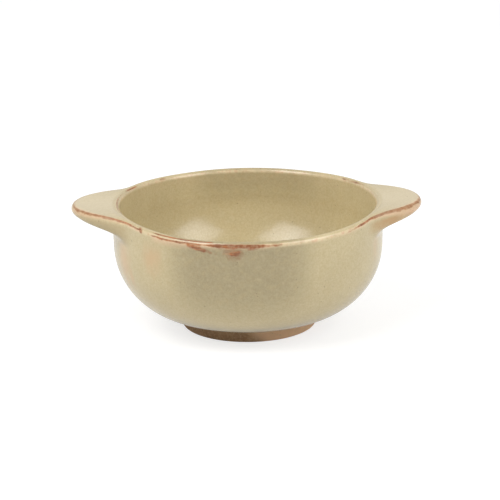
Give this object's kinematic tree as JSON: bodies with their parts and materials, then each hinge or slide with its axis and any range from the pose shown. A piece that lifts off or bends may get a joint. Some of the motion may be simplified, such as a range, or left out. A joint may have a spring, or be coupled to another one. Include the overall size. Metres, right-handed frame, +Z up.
{
  "type": "bouillon cup",
  "caption": "Round stoneware soup cup on a foot ring, with a flat lug on either side of the rim to lift it by and a speckled sand-coloured glaze that breaks to rust on the edges.",
  "frame": {"origin": "on the table under the middle of the cup: the centre of the foot ring's lower face", "axes": "+X towards the right lug as the picture shows it, +Z up through the mouth, +Y away from the camera"},
  "size_m": [0.1656, 0.127, 0.06],
  "materials": {
    "clay": "bare fired stoneware, matt terracotta brown",
    "glaze": "satin-gloss sand glaze with fine dark specks, rust brown where it thins on the edges"
  },
  "bodies": {
    "root": {"bowl_body": "clay", "foot_ring": "clay", "left_lug": "clay", "right_lug": "clay", "liner_glaze": "glaze", "outer_glaze": "glaze"}
  },
  "joints": []
}
